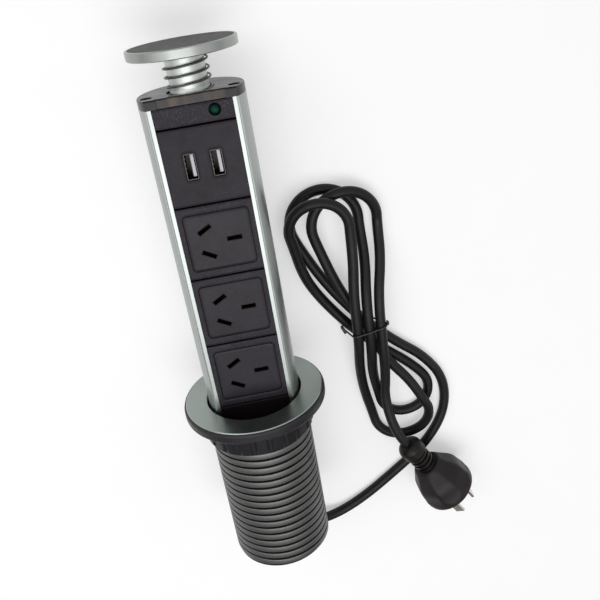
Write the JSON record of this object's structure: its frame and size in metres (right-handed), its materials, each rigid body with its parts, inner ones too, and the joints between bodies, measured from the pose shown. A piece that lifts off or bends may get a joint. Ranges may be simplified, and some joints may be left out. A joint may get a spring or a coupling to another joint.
{
  "type": "pop up desk socket",
  "caption": "Pop-up desk socket: threaded barrel with flange and clamp nut, a sliding D-section tower of outlets and charging ports, sprung knob and a lead tied in a hank.",
  "frame": {"origin": "centre of the flange's seating face, on the tower's axis", "axes": "+Y along the tower towards the knob, +Z the way the outlets face, +X across the tower"},
  "size_m": [0.1741, 0.3411, 0.0828],
  "materials": {
    "barrel_metal": "satin",
    "flange_plastic": "satin",
    "ring_metal": "brushed",
    "guide_plastic": "matte",
    "friction_rubber": "matte",
    "washer_metal": "satin",
    "nut_plastic": "satin",
    "tower_metal": "satin anodised",
    "frame_plastic": "fine speckle",
    "insert_plastic": "satin",
    "contact_brass": "bright",
    "block_plastic": "matte",
    "screw_steel": "bright",
    "core_rubber": "matte",
    "shell_steel": "bright",
    "tongue_plastic": "satin",
    "board_laminate": "satin",
    "lens_plastic": "gloss",
    "led_plastic": "gloss",
    "cap_plastic": "semi-gloss",
    "bright_metal": "bright",
    "knob_metal": "brushed",
    "inlay_plastic": "matte",
    "spring_steel": "satin",
    "tail_plastic": "matte",
    "gland_plastic": "matte",
    "cord_sheath": "satin",
    "tie_plastic": "satin",
    "plug_plastic": "satin",
    "pin_metal": "bright"
  },
  "bodies": {
    "collar": {"barrel": "barrel_metal", "flange_base": "flange_plastic", "flange_ring": "ring_metal", "guide_bush": "guide_plastic", "friction_ring": "friction_rubber"},
    "tower": {"tower_extrusion": "tower_metal", "top_blank": "frame_plastic", "lower_blank": "frame_plastic", "usb_module": "frame_plastic", "outlet_body_1": "frame_plastic", "outlet_body_2": "frame_plastic", "outlet_body_3": "frame_plastic", "outlet_insert_1": "insert_plastic", "outlet_insert_2": "insert_plastic", "outlet_insert_3": "insert_plastic", "outlet_contacts_1": "contact_brass", "outlet_contacts_2": "contact_brass", "outlet_contacts_3": "contact_brass", "busbar_live": "contact_brass", "busbar_neutral": "contact_brass", "busbar_earth": "contact_brass", "terminal_block": "block_plastic", "terminal_screws": "screw_steel", "end_cap_screws": "screw_steel", "tail_cap_screws": "screw_steel", "core_wires": "core_rubber", "usb_shell_left": "shell_steel", "usb_shell_right": "shell_steel", "usb_tongue_left": "tongue_plastic", "usb_tongue_right": "tongue_plastic", "usb_board": "board_laminate", "indicator_lens": "lens_plastic", "indicator_led": "led_plastic", "end_cap": "cap_plastic", "stem_collar": "bright_metal", "knob_spring": "spring_steel", "tail_cap": "tail_plastic", "cable_gland": "gland_plastic", "cord_lead": "cord_sheath", "cord_hank": "cord_sheath", "plug_lead": "cord_sheath", "cable_tie": "tie_plastic", "plug_neck": "plug_plastic", "plug_body": "plug_plastic", "plug_pins": "pin_metal"},
    "washer": {"slip_washer": "washer_metal"},
    "nut": {"clamp_nut": "nut_plastic"},
    "knob": {"knob_disc": "knob_metal", "knob_inlay": "inlay_plastic", "knob_stem": "bright_metal", "stem_clip": "screw_steel"}
  },
  "joints": [
    {"name": "tower_slide", "type": "slide", "parent": "collar", "child": "tower", "axis": [0, 1, 0], "range_m": [-0.1873, 0]},
    {"name": "knob_press", "type": "slide", "parent": "tower", "child": "knob", "axis": [0, 1, 0], "range_m": [-0.0115, 0], "stiffness_N_per_m": 600, "springref_m": 0.004, "deforming": ["knob_spring"]},
    {"name": "washer_slide", "type": "slide", "parent": "collar", "child": "washer", "axis": [0, 1, 0], "range_m": [-0.08, 0]},
    {"name": "nut_turn", "type": "hinge", "parent": "washer", "child": "nut", "pos_m": [0, -0.009, 0], "axis": [0, 1, 0], "range_deg": [-5761, 0.1]}
  ],
  "couplings": [
    {"joint": "nut_turn", "follows": "washer_slide", "rad_per_m": 1256.6}
  ]
}
